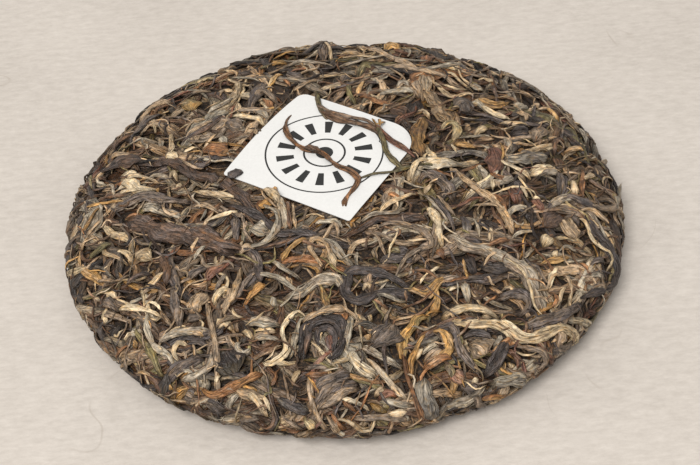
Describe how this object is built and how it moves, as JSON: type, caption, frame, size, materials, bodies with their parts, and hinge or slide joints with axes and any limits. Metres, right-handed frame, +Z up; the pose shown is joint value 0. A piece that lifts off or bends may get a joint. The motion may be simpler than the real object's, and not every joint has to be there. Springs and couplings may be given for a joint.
{
  "type": "pressed tea cake",
  "caption": "Round disc of dark twisted tea leaves pressed into a cake, domed on top and flat below with a shallow hollow, with a square paper ticket bedded in the top.",
  "frame": {"origin": "middle of the disc on the flat surface that it rests on", "axes": "+Z up through the thickness of the disc; -Y towards the side seen in the picture; the paper ticket lies behind the middle, towards +Y"},
  "size_m": [0.2, 0.1992, 0.0277],
  "materials": {
    "leaves": "matt dried leaf with a faint sheen",
    "paper": "thin uncoated white paper",
    "loose_leaf": "matt dried leaf with a faint sheen"
  },
  "bodies": {
    "root": {"leaf_cake": "leaves", "paper_ticket": "paper", "strand_on_ticket": "loose_leaf"}
  },
  "joints": []
}
